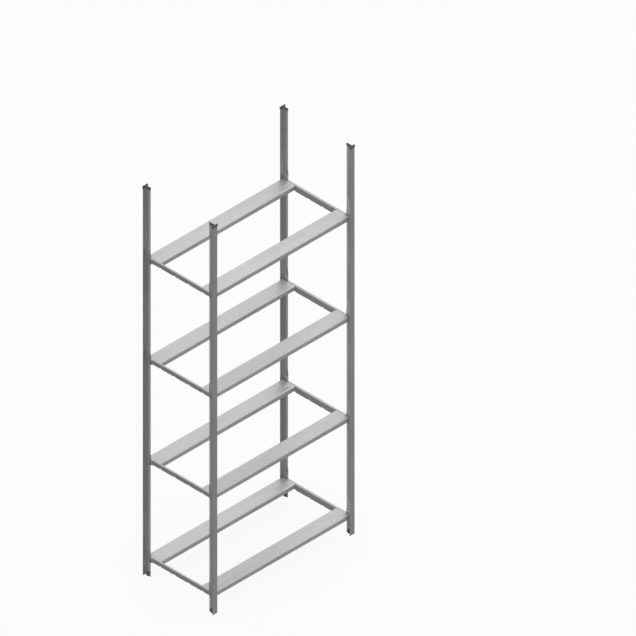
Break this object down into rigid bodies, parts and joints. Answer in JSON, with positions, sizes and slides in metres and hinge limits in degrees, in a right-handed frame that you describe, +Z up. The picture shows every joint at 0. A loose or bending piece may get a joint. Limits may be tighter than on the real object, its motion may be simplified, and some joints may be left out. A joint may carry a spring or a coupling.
{
  "type": "tyre storage rack",
  "caption": "Open galvanised steel rack for standing tyres: slotted T-section uprights, depth rails on hook clips, and pairs of wide flat beams that lift off their rails.",
  "frame": {"origin": "on the floor, under the middle of the rack", "axes": "+Z up, X along the width of the bay, Y along the depth with the front facing -Y"},
  "size_m": [1.179, 0.582, 2.786],
  "materials": {
    "upright_steel": "satin galvanised sheet",
    "rail_steel": "satin galvanised sheet",
    "clip_steel": "satin galvanised sheet",
    "beam_steel": "bright zinc-coated sheet with a fine rolled grain",
    "dark_plastic": "fine-grained moulded plastic"
  },
  "bodies": {
    "frame": {"upright_front_left": "upright_steel", "upright_back_left": "upright_steel", "upright_front_right": "upright_steel", "upright_back_right": "upright_steel", "cap_front_left": "dark_plastic", "cap_back_left": "dark_plastic", "cap_front_right": "dark_plastic", "cap_back_right": "dark_plastic", "foot_front_left": "dark_plastic", "foot_back_left": "dark_plastic", "foot_front_right": "dark_plastic", "foot_back_right": "dark_plastic", "rail_left_level_1": "rail_steel", "rail_right_level_1": "rail_steel", "rail_left_level_2": "rail_steel", "rail_right_level_2": "rail_steel", "rail_left_level_3": "rail_steel", "rail_right_level_3": "rail_steel", "rail_left_level_4": "rail_steel", "rail_right_level_4": "rail_steel", "clip_front_left_level_1": "clip_steel", "clip_back_left_level_1": "clip_steel", "clip_front_right_level_1": "clip_steel", "clip_back_right_level_1": "clip_steel", "clip_front_left_level_2": "clip_steel", "clip_back_left_level_2": "clip_steel", "clip_front_right_level_2": "clip_steel", "clip_back_right_level_2": "clip_steel", "clip_front_left_level_3": "clip_steel", "clip_back_left_level_3": "clip_steel", "clip_front_right_level_3": "clip_steel", "clip_back_right_level_3": "clip_steel", "clip_front_left_level_4": "clip_steel", "clip_back_left_level_4": "clip_steel", "clip_front_right_level_4": "clip_steel", "clip_back_right_level_4": "clip_steel"},
    "beam_front_level_1": {"beam_front_level_1": "beam_steel"},
    "beam_back_level_1": {"beam_back_level_1": "beam_steel"},
    "beam_front_level_2": {"beam_front_level_2": "beam_steel"},
    "beam_back_level_2": {"beam_back_level_2": "beam_steel"},
    "beam_front_level_3": {"beam_front_level_3": "beam_steel"},
    "beam_back_level_3": {"beam_back_level_3": "beam_steel"},
    "beam_front_level_4": {"beam_front_level_4": "beam_steel"},
    "beam_back_level_4": {"beam_back_level_4": "beam_steel"}
  },
  "joints": [
    {"name": "beam_front_level_1_lift", "type": "slide", "parent": "frame", "child": "beam_front_level_1", "axis": [0, 0, 1], "range_m": [0, 0.08]},
    {"name": "beam_back_level_1_lift", "type": "slide", "parent": "frame", "child": "beam_back_level_1", "axis": [0, 0, 1], "range_m": [0, 0.08]},
    {"name": "beam_front_level_2_lift", "type": "slide", "parent": "frame", "child": "beam_front_level_2", "axis": [0, 0, 1], "range_m": [0, 0.08]},
    {"name": "beam_back_level_2_lift", "type": "slide", "parent": "frame", "child": "beam_back_level_2", "axis": [0, 0, 1], "range_m": [0, 0.08]},
    {"name": "beam_front_level_3_lift", "type": "slide", "parent": "frame", "child": "beam_front_level_3", "axis": [0, 0, 1], "range_m": [0, 0.08]},
    {"name": "beam_back_level_3_lift", "type": "slide", "parent": "frame", "child": "beam_back_level_3", "axis": [0, 0, 1], "range_m": [0, 0.08]},
    {"name": "beam_front_level_4_lift", "type": "slide", "parent": "frame", "child": "beam_front_level_4", "axis": [0, 0, 1], "range_m": [0, 0.08]},
    {"name": "beam_back_level_4_lift", "type": "slide", "parent": "frame", "child": "beam_back_level_4", "axis": [0, 0, 1], "range_m": [0, 0.08]}
  ]
}
